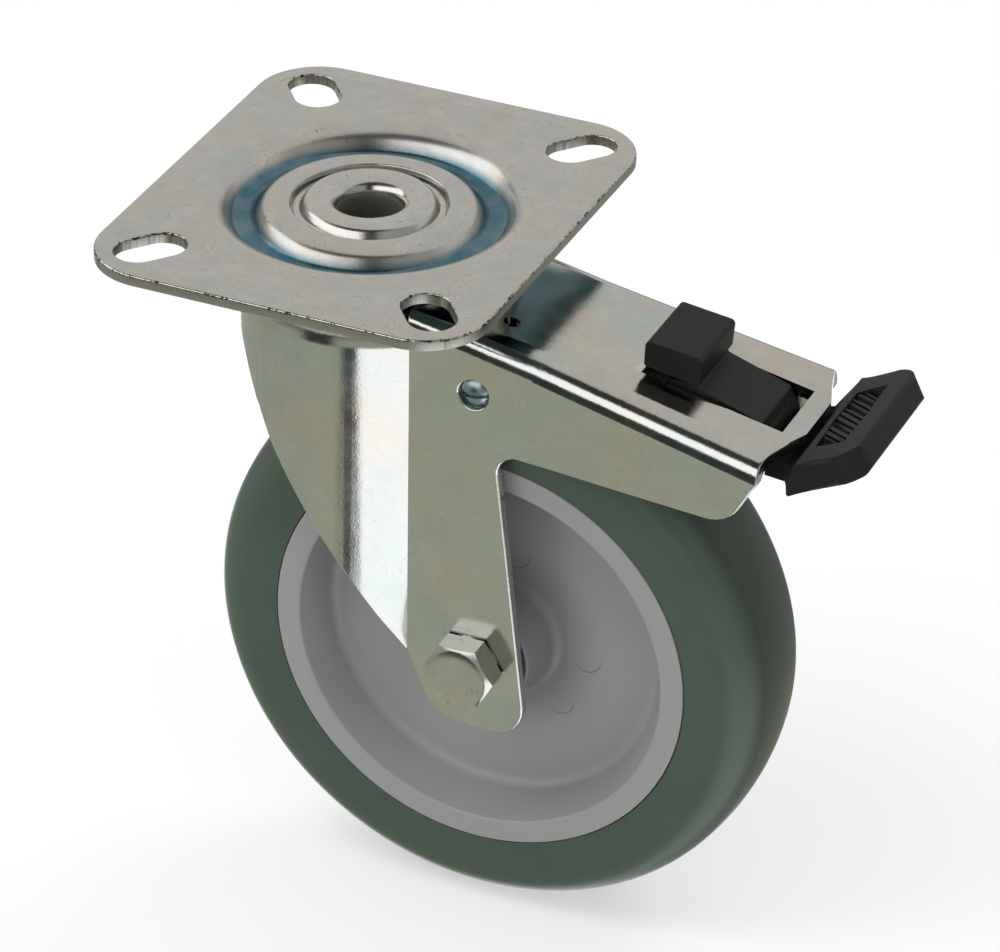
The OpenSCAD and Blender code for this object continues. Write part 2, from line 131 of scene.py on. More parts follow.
# The ceiling and the wall behind are one light surface. The right wall ends under it.
to_ceiling = add(tree, "VectorMath", {0: direction, 1: (0, 0.7071, 0.7071)},
                 operation="DOT_PRODUCT").outputs["Value"]
ceiling = add(tree, "MapRange", {"Value": to_ceiling}, interpolation_type="SMOOTHSTEP",
              From_Min=math.cos(math.radians(69)), From_Max=math.cos(math.radians(62))).outputs["Result"]
right_wall = add(tree, "Math", {0: region((-30, 42), (38, 190), 6), 1: ceiling},
                 operation="SUBTRACT", use_clamp=True).outputs[0]
pale_wall, white_card, table = (0.42, 0.45, 0.4), (1.75, 1.8, 1.88), (-95, -24)
seen = (0.05, 0.052, 0.05, 1)
for colour, where in (
        ((1.72, 1.74, 1.76), region((8, 39), (-100, 12), 7)),  # the long soft box in front
        ((0.7, 0.69, 0.66), ceiling),
        ((0.5, 0.53, 0.43), between(rise, *table)),
        (pale_wall, region((-30, 6), (-190, -32), 7)),
        (pale_wall, region((-30, 6), (-5, 190), 7)),
        ((0.1, 0.11, 0.1), region(table, (1, 15), 3)),  # a dark strip on the table
        ((0.4, 0.42, 0.39), right_wall),
        (white_card, region(table, (15, 100), 2)),
        (white_card, region(table, (-172, -128), 2))):
    seen = add(tree, "Mix", {"Factor": where, "A": seen, "B": (*colour, 1)},
               data_type="RGBA").outputs["Result"]
mirrored = add(tree, "Background", {"Color": seen}, Strength=1.0)
plain = add(tree, "Background", Color=linear("#F2F2F2"), Strength=0.8)
white = add(tree, "Background", Color=(1, 1, 1, 1), Strength=1.0)
ray = add(tree, "LightPath").outputs
both = add(tree, "MixShader", {0: ray["Is Glossy Ray"], 1: plain.outputs[0], 2: mirrored.outputs[0]})
both = add(tree, "MixShader", {0: ray["Is Camera Ray"], 1: both.outputs[0], 2: white.outputs[0]})
add(tree, "OutputWorld", {"Surface": both.outputs[0]})

# White paper: matt, without any gloss, so that the castor leaves a soft shadow on it. For
# the camera it glows the more the further it lies from the castor, up to plain white.
paper = bpy.data.materials.new("white_paper_sheet")
paper.use_nodes = True
tree = paper.node_tree
shader = tree.nodes["Principled BSDF"]
shader.inputs["Base Color"].default_value = linear("#F2F2F2")
shader.inputs["Roughness"].default_value = 0.9
shader.inputs["Specular IOR Level"].default_value = 0.0
from_castor = add(tree, "VectorMath", {0: add(tree, "TexCoord").outputs["Object"]},
                  operation="LENGTH").outputs["Value"]
glow = add(tree, "MapRange", {"Value": from_castor}, interpolation_type="SMOOTHSTEP",
           From_Min=0.16, From_Max=0.4, To_Min=0.5, To_Max=1.0).outputs["Result"]
glow = add(tree, "Math", {0: add(tree, "LightPath").outputs["Is Camera Ray"], 1: glow},
           operation="MULTIPLY").outputs[0]
glowing = add(tree, "MixShader", {0: glow, 1: shader.outputs[0],
                                  2: add(tree, "Emission", Strength=1.0).outputs[0]})
tree.links.new(glowing.outputs[0], tree.nodes["Material Output"].inputs["Surface"])

floor_size = 6.0
floor_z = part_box("tyre")[0].z
floor_mesh = bpy.data.meshes.new("floor")
floor_mesh.from_pydata([(x * floor_size, y * floor_size, floor_z)
                        for x, y in ((-1, -1), (1, -1), (1, 1), (-1, 1))], [], [(0, 1, 2, 3)])
floor_mesh.materials.append(paper)
floor = bpy.data.objects.new("floor", floor_mesh)
scene.collection.objects.link(floor)
floor.visible_glossy = False

lit_point = Vector((0.02, 0, -0.06))
for name, place, size, power in (
        ("key_softbox", (-0.9, -0.7, 1.5), 1.1, 16.0),
        ("back_softbox", (0.6, 1.3, 1.2), 0.9, 9.0),
        ("side_softbox", (1.5, -0.9, 0.5), 0.7, 5.0),
        ("front_softbox", (-0.7, -1.4, 0.15), 1.0, 5.0)):
    lamp = bpy.data.objects.new(name, bpy.data.lights.new(name, "AREA"))
    lamp.data.shape = "SQUARE"
    lamp.data.size = size
    lamp.data.energy = power
    lamp.location = place
    lamp.visible_glossy = False
    lamp.rotation_euler = (lit_point - Vector(place)).to_track_quat("-Z", "Y").to_euler()
    scene.collection.objects.link(lamp)


# Top plate. A 2.5 mm steel sheet, blanked with four diagonal bolt slots, then pressed
# with a ring groove that stiffens it and a recess in which the kingpin head sits. It was
# zinc plated afterwards, which keeps the torn look of the blanked walls.
def zinc_steel(name, base, tint_a, tint_b, rough, blotch=14.0, marks=0.5, grain=0.22):
    """Bright zinc plated steel. Cold rolled sheet keeps a fine orange peel under the zinc,
    and the clear passivation on it is thin enough to show faint straw, rose and blue
    patches. Its colour drifts between three tones in patches of blotch mm. Handling leaves
    brown hair lines, where a noise crosses its middle value, and tiny dark pits, where a
    finer noise peaks, both as strong as marks. grain is how much of the peel the relief
    has beside a wave of 7 mm. The peel is drawn as fine as it is in the real sheet."""
    peel, wave_size, hair_size, pit_size = 0.45, 7.0, 9.0, 0.9
    material = bpy.data.materials.new(name)
    material.use_nodes = True
    tree = material.node_tree
    shader = tree.nodes["Principled BSDF"]
    place = add(tree, "TexCoord").outputs["Object"]
    patch = add(tree, "TexNoise", {"Vector": place}, Scale=1000 / blotch, Detail=3.0, Roughness=0.55)
    cloud = add(tree, "TexNoise", {"Vector": place}, Scale=1000 / (blotch * 0.42),
                Detail=4.0, Roughness=0.6).outputs["Fac"]
    ramp = add(tree, "ValToRGB", {"Fac": patch.outputs["Fac"]})
    stops = ramp.color_ramp.elements
    stops[0].position, stops[0].color = 0.34, linear(tint_a)
    stops[1].position, stops[1].color = 0.66, linear(tint_b)
    stops.new(0.5).color = linear(base)
    shade = add(tree, "MapRange", {"Value": cloud}, From_Min=0.35, From_Max=0.7, To_Min=0.92, To_Max=1.05)
    tone = add(tree, "Mix", {"Factor": 1.0, "A": ramp.outputs["Color"], "B": shade.outputs["Result"]},
               data_type="RGBA", blend_type="MULTIPLY")

    hair = add(tree, "TexNoise", {"Vector": place}, Scale=1000 / hair_size, Detail=6.0,
               Roughness=0.62, Distortion=1.4)
    off = add(tree, "Math", {0: hair.outputs["Fac"], 1: 0.5}, operation="SUBTRACT")
    off = add(tree, "Math", {0: off.outputs[0]}, operation="ABSOLUTE")
    line = add(tree, "MapRange", {"Value": off.outputs[0]}, From_Min=0.0, From_Max=0.012,
               To_Min=1.0, To_Max=0.0)
    where = add(tree, "MapRange", {"Value": cloud}, From_Min=0.5, From_Max=0.62, To_Min=0.0, To_Max=marks)
    line = add(tree, "Math", {0: line.outputs["Result"], 1: where.outputs["Result"]}, operation="MULTIPLY")
    pit = add(tree, "TexNoise", {"Vector": place}, Scale=1000 / pit_size, Detail=1.0)
    pit = add(tree, "MapRange", {"Value": pit.outputs["Fac"]}, From_Min=0.72, From_Max=0.76,
              To_Min=0.0, To_Max=marks)
    mark = add(tree, "Math", {0: line.outputs[0], 1: pit.outputs["Result"]}, operation="MAXIMUM")
    stain = add(tree, "Mix", {"Factor": mark.outputs[0], "A": tone.outputs["Result"],
                              "B": linear("#6F6047")}, data_type="RGBA")
    tree.links.new(stain.outputs["Result"], shader.inputs["Base Color"])

    gloss = add(tree, "MapRange", {"Value": cloud}, From_Min=0.3, From_Max=0.7,
                To_Min=rough - 0.04, To_Max=rough + 0.06)
    tree.links.new(gloss.outputs["Result"], shader.inputs["Roughness"])
    fine = add(tree, "TexNoise", {"Vector": place}, Scale=1000 / peel, Detail=2.0, Roughness=0.5)
    wave = add(tree, "TexNoise", {"Vector": place}, Scale=1000 / wave_size, Detail=2.0)
    relief = add(tree, "Math", {0: fine.outputs["Fac"], 1: grain, 2: wave.outputs["Fac"]},
                 operation="MULTIPLY_ADD")
    bump = add(tree, "Bump", {"Height": relief.outputs[0]}, Strength=0.4, Distance=0.00012)
    tree.links.new(bump.outputs["Normal"], shader.inputs["Normal"])
    shader.inputs["Metallic"].default_value = 1.0
    return material


def filmed(material, colour, *masks):
    """Lays a colour over the finish so far, as much as the product of the masks says."""
    tree = material.node_tree
    base = tree.nodes["Principled BSDF"].inputs["Base Color"]
    where = masks[0]
    for mask in masks[1:]:
        where = add(tree, "Math", {0: where, 1: mask}, operation="MULTIPLY").outputs[0]
    film = add(tree, "Mix", {"Factor": where, "A": base.links[0].from_socket, "B": linear(colour)},
               data_type="RGBA")
    tree.links.new(film.outputs["Result"], base)


def rounded(corners, steps=8):
    """Polyline through corners (a, b, radius) with each corner replaced by its fillet arc:
    the arc's centre lies on the bisector at radius / sin(half angle)."""
    pts = np.array([c[:2] for c in corners], float)
    out = [pts[:1]]
    for i in range(1, len(pts) - 1):
        radius = corners[i][2]
        u, v = pts[i - 1] - pts[i], pts[i + 1] - pts[i]
        u, v = u / np.linalg.norm(u), v / np.linalg.norm(v)
        half = math.acos(np.clip(u @ v, -1, 1)) / 2
        if radius <= 0 or half > 1.5706:
            out.append(pts[i:i + 1])
            continue
        middle = pts[i] + (u + v) / np.linalg.norm(u + v) * radius / math.sin(half)
        p = pts[i] + u * radius / math.tan(half) - middle
        q = pts[i] + v * radius / math.tan(half) - middle
        turn = np.linspace(0, math.pi - 2 * half, steps + 1) * np.sign(p[0] * q[1] - p[1] * q[0])
        out.append(middle + np.stack([p[0] * np.cos(turn) - p[1] * np.sin(turn),
                                      p[0] * np.sin(turn) + p[1] * np.cos(turn)], 1))
    out.append(pts[-1:])
    return np.concatenate(out)


def grid_faces(rows, columns, start=0):
    """Quads between the points of a rows by columns grid, each row of which is a closed ring."""
    i, j = (a.ravel() for a in np.meshgrid(np.arange(rows - 1), np.arange(columns), indexing="ij"))
    after = (j + 1) % columns
    return start + np.stack([i * columns + j, i * columns + after,
                             (i + 1) * columns + after, (i + 1) * columns + j], 1)


def piece(name, points, faces, material, sharp=32):
    """Mesh object at the origin from points in millimetres, smooth except over edges that
    turn more than sharp degrees."""
    mesh = bpy.data.meshes.new(name)
    mesh.from_pydata((points / 1000).tolist(), [], faces)
    bm = bmesh.new()
    bm.from_mesh(mesh)
    bmesh.ops.remove_doubles(bm, verts=bm.verts, dist=1e-7)
    bmesh.ops.dissolve_degenerate(bm, edges=bm.edges, dist=1e-7)
    bmesh.ops.recalc_face_normals(bm, faces=bm.faces)
    bm.to_mesh(mesh)
    bm.free()
    mesh.shade_smooth()
    mesh.set_sharp_from_angle(angle=math.radians(sharp))
    mesh.materials.append(material)
    made = bpy.data.objects.new(name, mesh)
    scene.collection.objects.link(made)
    return made


def turned(profile, count, centre=(0, 0, 0), along="z"):
    """Surface of revolution: each profile point (radius, height) goes round in count steps,
    about Z or about the wheel's Y."""
    a = np.linspace(0, 2 * math.pi, count, endpoint=False)
    r, h = profile[:, :1], profile[:, 1:]
    ring = np.stack([r * np.cos(a), r * np.sin(a), np.broadcast_to(h, (len(profile), count))], 2)
    if along == "y":
        ring = ring[:, :, [0, 2, 1]]
    return ring.reshape(-1, 3) + np.array(centre), grid_faces(len(profile), count)


# Bright zinc: a mirror that the peel breaks up. A steel blue film has pooled in the groove,
# and the underside is painted a dark teal: the film's tint, darkened as painted shade.
plate_zinc = zinc_steel("bright_zinc_on_plate", "#C4C2BE", "#C7C1B9", "#BDC2BE", 0.16)
tree = plate_zinc.node_tree
place = add(tree, "TexCoord").outputs["Object"]
local = add(tree, "SeparateXYZ", {"Vector": place}).outputs
flat = add(tree, "CombineXYZ", {"X": local["X"], "Y": local["Y"]}).outputs[0]
radius = add(tree, "VectorMath", {0: flat}, operation="LENGTH").outputs["Value"]
faces_up = add(tree, "SeparateXYZ", {"Vector": add(tree, "NewGeometry").outputs["Normal"]}).outputs["Z"]
deep = add(tree, "MapRange", {"Value": local["Z"]}, interpolation_type="SMOOTHSTEP",
           From_Min=-0.0026, From_Max=-0.0047).outputs["Result"]
outer = add(tree, "MapRange", {"Value": radius}, From_Min=0.0195, From_Max=0.0205).outputs["Result"]
upward = add(tree, "MapRange", {"Value": faces_up}, From_Min=-0.2, From_Max=0.1).outputs["Result"]
thin = add(tree, "TexNoise", {"Vector": place}, Scale=1000 / 6.25, Detail=4.0, Roughness=0.6)
thin = add(tree, "MapRange", {"Value": thin.outputs["Fac"]}, From_Min=0.35, From_Max=0.6,
           To_Min=0.82, To_Max=1.0).outputs["Result"]
filmed(plate_zinc, "#447183", deep, outer, upward, thin)
# Painted shade: faces that turn down take a dark teal, the passivation film's tint darkened for the shade
# under the plate.
below = add(tree, "MapRange", {"Value": faces_up}, From_Min=-0.5, From_Max=-0.8).outputs["Result"]
filmed(plate_zinc, "#45575B", below)

# Blanked walls are rough and a little browner, and the drawn groove mirrors less sharply.
upright = add(tree, "Math", {0: faces_up}, operation="ABSOLUTE").outputs[0]
wall = add(tree, "MapRange", {"Value": upright}, From_Min=0.35, From_Max=0.1).outputs["Result"]
beyond = add(tree, "MapRange", {"Value": radius}, From_Min=0.033, From_Max=0.034).outputs["Result"]
blanked = add(tree, "Math", {0: wall, 1: beyond}, operation="MULTIPLY").outputs[0]
torn = add(tree, "Math", {0: blanked, 1: 0.4}, operation="MULTIPLY").outputs[0]
drawn = add(tree, "MapRange", {"Value": radius}, From_Min=0.0318, From_Max=0.0335, To_Min=0.27, To_Max=0.0)
drawn = add(tree, "Math", {0: drawn.outputs["Result"], 1: outer}, operation="MULTIPLY").outputs[0]
roughness = tree.nodes["Principled BSDF"].inputs["Roughness"]
for least in (torn, drawn):
    least = add(tree, "Math", {0: roughness.links[0].from_socket, 1: least}, operation="MAXIMUM")
    tree.links.new(least.outputs[0], roughness)
filmed(plate_zinc, "#8F8D80", blanked, 0.55)

# The slots' walls show dark shearing lines, 1.3 mm apart, which run through the sheet: the
# noise reads only X and Y. Inside the two reaches are the slots and not the plate's rim.
reaches = []
for axis, reach in (("X", 0.0385), ("Y", 0.0465)):
    off = add(tree, "Math", {0: local[axis]}, operation="ABSOLUTE").outputs[0]
    reaches.append(add(tree, "MapRange", {"Value": off}, From_Min=reach, From_Max=reach + 0.0005,
                       To_Min=1.0, To_Max=0.0).outputs["Result"])
sheared = add(tree, "TexNoise", {"Vector": flat}, Scale=1000 / 1.3, Detail=3.0, Roughness=0.7)
sheared = add(tree, "MapRange", {"Value": sheared.outputs["Fac"]}, From_Min=0.44, From_Max=0.58,
              To_Min=0.0, To_Max=0.5).outputs["Result"]
filmed(plate_zinc, "#4A483E", wall, beyond, *reaches, sheared)

# Along the upper edges the zinc is chipped in spots of about 1 mm.
arris = add(tree, "MapRange", {"Value": local["Z"]}, From_Min=-0.00075, From_Max=-0.0005).outputs["Result"]
corner = add(tree, "MapRange", {"Value": faces_up}, From_Min=0.93, From_Max=0.8).outputs["Result"]
chipped = add(tree, "TexNoise", {"Vector": place}, Scale=1000 / 1.1, Detail=3.0, Roughness=0.8)
chipped = add(tree, "MapRange", {"Value": chipped.outputs["Fac"]}, From_Min=0.53, From_Max=0.57)
filmed(plate_zinc, "#2E2C24", arris, corner, beyond, chipped.outputs["Result"])


def outline(half_x, half_y, r, at=(0, 0), turn=0, count=16):
    """Closed plan outline with outward normals: arcs of equal radius whose centres are the
    corners of a box. It is turned by turn and moved to at."""
    a = np.arange(4)[:, None] * math.pi / 2 + np.linspace(0, math.pi / 2, count)[None, :]
    centre = np.array([[1, 1], [-1, 1], [-1, -1], [1, -1]])[:, None, :] * np.array([half_x - r, half_y - r])
    n = np.stack([np.cos(a), np.sin(a)], 2)
    p = (centre + r * n).reshape(-1, 2)
    c, s = math.cos(turn), math.sin(turn)
    m = np.array([[c, s], [-s, c]])
    return p @ m + np.array(at), n.reshape(-1, 2) @ m


def rolled_side(path, normals, outward, t, e):
    """Sheet edge: a quarter arc of radius e over the top, the wall, and a quarter arc a
    third as large under it, carried along the path."""
    a = np.linspace(0, math.pi / 2, 6)
    inset = np.concatenate([e * (1 - np.sin(a)), 0.35 * e * (1 - np.cos(a))])
    z = np.concatenate([-e * (1 - np.cos(a)), -t + 0.35 * e * (1 - np.sin(a))])
    p = path[None] - outward * normals[None] * inset[:, None, None]
    return np.concatenate([p, np.broadcast_to(z[:, None, None], p.shape[:2] + (1,))], 2)


# The flat sheet is filled between its rim, the four slots and a ring of 35 mm radius, and
# the pressed middle inside that ring is turned.
plate_x, plate_y, plate_t, corner_r, rim_edge = 85, 100, 2.5, 14, 0.55
slot_long, slot_wide, slot_pitch_x, slot_pitch_y, slot_edge = 15.2, 9.8, 61, 76, 0.45
pressed_r, ring_steps = 35, 192
slot_turn = math.atan2(slot_pitch_y, slot_pitch_x)
loops = [(outline(plate_x / 2, plate_y / 2, corner_r, count=20), 1, rim_edge),
         (outline(pressed_r, pressed_r, pressed_r - 0.001, count=ring_steps // 4), -1, None)]
loops += [(outline(slot_long / 2, slot_wide / 2, slot_wide / 2 - 0.001,
                   (sx * slot_pitch_x / 2, sy * slot_pitch_y / 2), sx * sy * slot_turn, 12), -1, slot_edge)
          for sx in (-1, 1) for sy in (-1, 1)]
points, faces, caps = [], [], {0: [], -1: []}
start = 0
for (path, normals), outward, roll in loops:
    if roll is None:
        ring = np.concatenate([path, np.zeros((len(path), 1))], 1)
        side = np.stack([ring, ring - (0, 0, plate_t)])
    else:
        side = rolled_side(path, normals, outward, plate_t, roll)
        faces.append(grid_faces(side.shape[0], side.shape[1], start=start))
    for layer in caps:
        caps[layer].append((side[layer], start + (layer % side.shape[0]) * side.shape[1]))
    points.append(side.reshape(-1, 3))
    start += side.shape[0] * side.shape[1]
for rings in caps.values():
    index = np.concatenate([np.arange(len(ring)) + first for ring, first in rings])
    tris = tessellate_polygon([[Vector(p) for p in ring] for ring, first in rings])
    faces.append(index[np.array(tris)])
groove = [(10.6, -3.2, 0), (16.2, -3.2, 0.15), (16.2, -0.9, 0.5), (21.4, -1.1, 2.8), (24.0, -5.1, 2.4),
          (27.7, -5.1, 2.2), (30.9, 0, 5.0), (pressed_r, 0, 0)]
underside = [(pressed_r, -plate_t, 0), (33.1, -plate_t, 1.5), (29.9, -8.1, 3), (23.8, -8.1, 3),
             (20.6, -5.6, 0.5), (18, -4.02, 1), (15.4, -5.5, 0.5), (10.6, -5.5, 0)]
for profile in (rounded(groove, 14), rounded(underside, 8)):
    p, f = turned(profile, ring_steps)
    points.append(p)
    faces.append(f + start)
    start += len(p)
plate = piece("top_plate_pressed", np.concatenate(points), [f for group in faces for f in group.tolist()],
              plate_zinc)
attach(plate, "plate")
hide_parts("top_plate")

# Kingpin. A hollow rivet turned from steel bar holds the swivel head together, and its
# head in the plate's recess was rolled smooth. Zinc plated with the plate, less bright.
# Deep in its bore a dark olive is painted in as shade inside the hole, and there the
# surface is mostly not metallic.
pin_zinc = zinc_steel("bright_zinc_on_kingpin", "#C8C6C2", "#CBC6C0", "#C2C3C0", 0.18, blotch=9.0)
tree = pin_zinc.node_tree
local = add(tree, "SeparateXYZ", {"Vector": add(tree, "TexCoord").outputs["Object"]}).outputs
# Painted shade: deep in the bore the zinc turns dark olive and mostly matt.
sunk = add(tree, "MapRange", {"Value": local["Z"]}, From_Min=-0.0022, From_Max=-0.0034,
           To_Max=0.85).outputs["Result"]
flat = add(tree, "CombineXYZ", {"X": local["X"], "Y": local["Y"]}).outputs[0]
bore = add(tree, "VectorMath", {0: flat}, operation="LENGTH").outputs["Value"]
bore = add(tree, "MapRange", {"Value": bore}, From_Min=0.0075, From_Max=0.0085,
           To_Min=1.0, To_Max=0.0).outputs["Result"]
bore_shade = add(tree, "Math", {0: sunk, 1: bore}, operation="MULTIPLY").outputs[0]
filmed(pin_zinc, "#48483B", bore_shade)
bare = add(tree, "MapRange", {"Value": bore_shade}, To_Min=1.0, To_Max=0.25).outputs["Result"]
tree.links.new(bare, tree.nodes["Principled BSDF"].inputs["Metallic"])
bore_r, neck_r, head_r, foot_r = 6.6, 10.5, 15.7, 13.4
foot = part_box("kingpin")[0].z * 1000
pin = rounded([(bore_r, foot + 4, 0), (bore_r, -4.2, 0.6), (7.0, 0, 3.0), (13.0, 0, 2.0), (14.35, -2.45, 0.4),
               (head_r, -2.4, 0.25), (head_r, -3.15, 0), (neck_r, -3.15, 0), (neck_r, foot + 2, 0),
               (foot_r, foot + 2, 0.5), (foot_r, foot, 0.8), (8.4, foot, 0), (bore_r, foot + 4, 0)], 10)
p, f = turned(pin, 160)
kingpin = piece("kingpin_rolled", p, f.tolist(), pin_zinc)
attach(kingpin, "plate")
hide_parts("kingpin")


# Fork. One pressing of 2.5 mm sheet: a round head drawn over the balls, two legs down to
# the axle and a folded channel that reaches out over the wheel and carries the pedal.
# Bright zinc over drawn sheet: brighter than the plate, with fewer marks and more peel.
def softened(name, node, material, width, segments, turn, shortest=0.0, spare=(), join=0.002):
    """Copy of a solid with its triangles merged to clean faces and its steps shorter than
    join mm closed. Its edges that turn more than turn degrees, are as long as the shortest,
    have faces on both sides that are not slivers and lie outside the boxes spare are rolled
    over by width mm."""
    loose, flat_turn, sliver = 0.002, 0.15, 0.8
    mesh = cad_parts[node].data.copy()
    bm = bmesh.new()
    bm.from_mesh(mesh)
    bmesh.ops.remove_doubles(bm, verts=bm.verts, dist=loose / 1000)
    bmesh.ops.dissolve_limit(bm, angle_limit=math.radians(flat_turn), verts=bm.verts, edges=bm.edges)
    bmesh.ops.remove_doubles(bm, verts=bm.verts, dist=join / 1000)
    bm.edges.ensure_lookup_table()
    angle = np.array([math.degrees(e.calc_face_angle(0)) for e in bm.edges])
    length = np.array([e.calc_length() * 1000 for e in bm.edges])
    middle = np.array([(e.verts[0].co + e.verts[1].co) / 2 for e in bm.edges]) * 1000
    area = np.array([min(f.calc_area() for f in e.link_faces) if e.link_faces else 0 for e in bm.edges])
    rolled = (angle > turn) & (length > shortest) & (area * 1e6 / length > sliver)
    for low, high in spare:
        rolled &= ~np.all((middle > low) & (middle < high), axis=1)
    bm.to_mesh(mesh)
    bm.free()
    weight = mesh.attributes.new("bevel_weight_edge", "FLOAT", "EDGE")
    weight.data.foreach_set("value", rolled.astype(np.float32))
    mesh.shade_smooth()
    mesh.set_sharp_from_angle(angle=math.radians(30))
    mesh.materials.clear()
    mesh.materials.append(material)
    made = bpy.data.objects.new(name, mesh)
    scene.collection.objects.link(made)
    roll = made.modifiers.new("rolled_edges", "BEVEL")
    roll.width = width / 1000
    roll.segments = segments
    roll.limit_method = "WEIGHT"
    roll.use_clamp_overlap = False
    roll.miter_outer = "MITER_ARC"
    even = made.modifiers.new("even_shading", "WEIGHTED_NORMAL")
    even.keep_sharp = True
    even.weight = 80
    return made


fork_zinc = zinc_steel("bright_zinc_on_fork", "#C4C3BE", "#C8C1B7", "#BCC4C0", 0.13,
                       blotch=18.0, marks=0.2, grain=0.32)

# The top of the head's nose turns in with the square of the height over a line that rises
# from the nose to the legs. This fall is relief in the material, under the peel.
tree = fork_zinc.node_tree
shader = tree.nodes["Principled BSDF"]
fall = -3.4
local = add(tree, "SeparateXYZ", {"Vector": add(tree, "TexCoord").outputs["Object"]}).outputs
line = add(tree, "MapRange", {"Value": local["X"]}, From_Min=0.002, From_Max=0.015,
           To_Min=-0.0185, To_Max=-0.0105).outputs["Result"]
nose = add(tree, "MapRange", {"Value": local["X"]}, From_Min=0.0172, From_Max=0.0182,
           To_Min=1.0, To_Max=0.0).outputs["Result"]
over = add(tree, "Math", {0: local["Z"], 1: line}, operation="SUBTRACT").outputs[0]
for step, number in (("MAXIMUM", 0.0), ("POWER", 2.0), ("MULTIPLY", fall), ("MULTIPLY", nose)):
    over = add(tree, "Math", {0: over, 1: number}, operation=step).outputs[0]
shoulder = add(tree, "Bump", {"Height": over}, Strength=1.0, Distance=1.0)
peeled = shader.inputs["Normal"].links[0].from_node
tree.links.new(shoulder.outputs["Normal"], peeled.inputs["Normal"])
# Painted shade: the nose's faces that turn up, under the plate, are painted a dark grey in place of the shade
# and the dark underside that they mirror there.
faces_up = add(tree, "SeparateXYZ", {"Vector": add(tree, "NewGeometry").outputs["Normal"]}).outputs["Z"]
nose_top_shade = add(tree, "MapRange", {"Value": faces_up}, From_Min=0.2, From_Max=0.4).outputs["Result"]
filmed(fork_zinc, "#6C6C60", nose_top_shade, nose)

# Left sharp: the arm's slot, the small hole near its root, the holes for the axle and the
# arm's far corner.
left_sharp = (((40, -9.5, -60), (110, 9.5, 10)),
              ((28, -15, -30), (60, 15, 10)),
              ((26, -40, -100), (38, 40, -86)),
              ((90, 9, -50), (110, 30, 10)))
fork = softened("fork_pressed", "fork_housing", fork_zinc, 0.42, 3, 62, spare=left_sharp, join=0.4)
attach(fork, "fork")
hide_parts("fork_housing")


# Wheel centre. Grey polypropylene, injection moulded with a dished web and a raised ring
# that holds the tyre. Satin, with the fine arcs that the ejector pins leave on the web.
def moulded(name, base, second, rough, grain, depth, blotch=30.0):
    """Moulded plastic or rubber: two close tones in soft patches of blotch mm, a spark
    eroded grain of grain mm that is depth mm deep, and an even satin gloss. The real grain
    is about 0.1 mm, and it is drawn coarser so that it shows."""
    material = bpy.data.materials.new(name)
    material.use_nodes = True
    tree = material.node_tree
    shader = tree.nodes["Principled BSDF"]
    place = add(tree, "TexCoord").outputs["Object"]
    patch = add(tree, "TexNoise", {"Vector": place}, Scale=1000 / blotch, Detail=3.0).outputs["Fac"]
    ramp = add(tree, "ValToRGB", {"Fac": patch})
    stops = ramp.color_ramp.elements
    stops[0].position, stops[0].color = 0.35, linear(base)
    stops[1].position, stops[1].color = 0.65, linear(second)
    tree.links.new(ramp.outputs["Color"], shader.inputs["Base Color"])
    gloss = add(tree, "MapRange", {"Value": patch}, From_Min=0.3, From_Max=0.7,
                To_Min=rough - 0.03, To_Max=rough + 0.05)
    tree.links.new(gloss.outputs["Result"], shader.inputs["Roughness"])
    fine = add(tree, "TexNoise", {"Vector": place}, Scale=1000 / grain, Detail=2.0).outputs["Fac"]
    bump = add(tree, "Bump", {"Height": fine}, Strength=0.4, Distance=depth / 1000)
    tree.links.new(bump.outputs["Normal"], shader.inputs["Normal"])
    shader.inputs["IOR"].default_value = 1.49
    return material


# Polypropylene: a soft wide sheen. The ring is painted one even tone, matched to the light
# that falls on it, and the web is painted darker towards the hub, as shade where it lies deep.
axle = (32.0, 0.0, -92.5)
centre_plastic = moulded("satin_polypropylene", "#838384", "#888889", 0.42, 0.5, 0.03)
tree = centre_plastic.node_tree
local = add(tree, "SeparateXYZ", {"Vector": add(tree, "TexCoord").outputs["Object"]}).outputs
flat = add(tree, "CombineXYZ", {"X": local["X"], "Z": local["Z"]}).outputs[0]
face = add(tree, "VectorMath", {0: flat, 1: (axle[0] / 1000, 0, axle[2] / 1000)},
           operation="SUBTRACT").outputs[0]
out = add(tree, "VectorMath", {0: face}, operation="LENGTH").outputs["Value"]
# Painted light and shade: the ring gets one even tone matched to the light on it, and the web darkens towards
# the hub as painted shade.
for tone, low, high in (("#878787", 0.0405, 0.0412), ("#6E6E70", 0.024, 0.013)):
    filmed(centre_plastic, tone,
           add(tree, "MapRange", {"Value": out}, From_Min=low, From_Max=high).outputs["Result"])

# Each ejector pin left a thin ring, and only its lower right half is drawn, dark, as painted
# shade on the side that turns from the light. There are two pins in each third of the web.
pin_mark_r, line_half = 0.003, 0.00014
for px, pz in ((4.4, 19.6), (20.7, -1.7)):
    for third in range(3):
        a = 2 * math.pi * third / 3
        mark = ((px * math.cos(a) - pz * math.sin(a)) / 1000, 0, (px * math.sin(a) + pz * math.cos(a)) / 1000)
        gap = add(tree, "VectorMath", {0: face, 1: mark}, operation="DISTANCE").outputs["Value"]
        ring = add(tree, "Math", {0: gap, 1: pin_mark_r, 2: line_half}, operation="COMPARE").outputs[0]
        lower = add(tree, "VectorMath", {0: face, 1: mark}, operation="SUBTRACT").outputs[0]
        lower = add(tree, "VectorMath", {0: lower, 1: (0.45, 0, -0.9)}, operation="DOT_PRODUCT")
        lower = add(tree, "MapRange", {"Value": lower.outputs["Value"]}, From_Min=0.0004,
                    From_Max=0.0024, To_Max=0.75).outputs["Result"]
        filmed(centre_plastic, "#565658", ring, lower)
